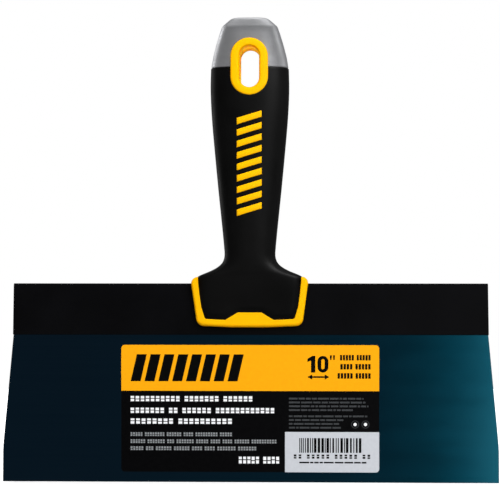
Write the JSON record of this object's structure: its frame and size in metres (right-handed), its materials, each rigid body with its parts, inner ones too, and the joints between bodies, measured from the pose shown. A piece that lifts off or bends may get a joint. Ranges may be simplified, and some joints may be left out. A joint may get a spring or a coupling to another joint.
{
  "type": "drywall taping knife",
  "caption": "Wide taping knife: thin flared blue-steel blade in a folded black spine, moulded soft-grip handle, cast hammer cap and a bushed hang hole.",
  "frame": {"origin": "middle of the working edge, at the blade's mid thickness", "axes": "+X along the blade to the right seen from the front, -Y out of the front face that carries the label, +Z from the working edge up the handle"},
  "size_m": [0.254, 0.0288, 0.2371],
  "materials": {
    "blued_steel": "satin",
    "spine_coat": "satin",
    "rivet_steel": "satin",
    "yellow_plastic": "satin",
    "soft_rubber": "matte",
    "cast_metal": "satin",
    "label_film": "satin"
  },
  "bodies": {
    "root": {"blade": "blued_steel", "spine": "spine_coat", "rivet_left": "rivet_steel", "rivet_centre": "rivet_steel", "rivet_right": "rivet_steel", "handle_core": "yellow_plastic", "soft_grip": "soft_rubber", "end_cap": "cast_metal", "hang_bush_front": "yellow_plastic", "hang_bush_rear": "yellow_plastic", "label": "label_film"}
  },
  "joints": []
}
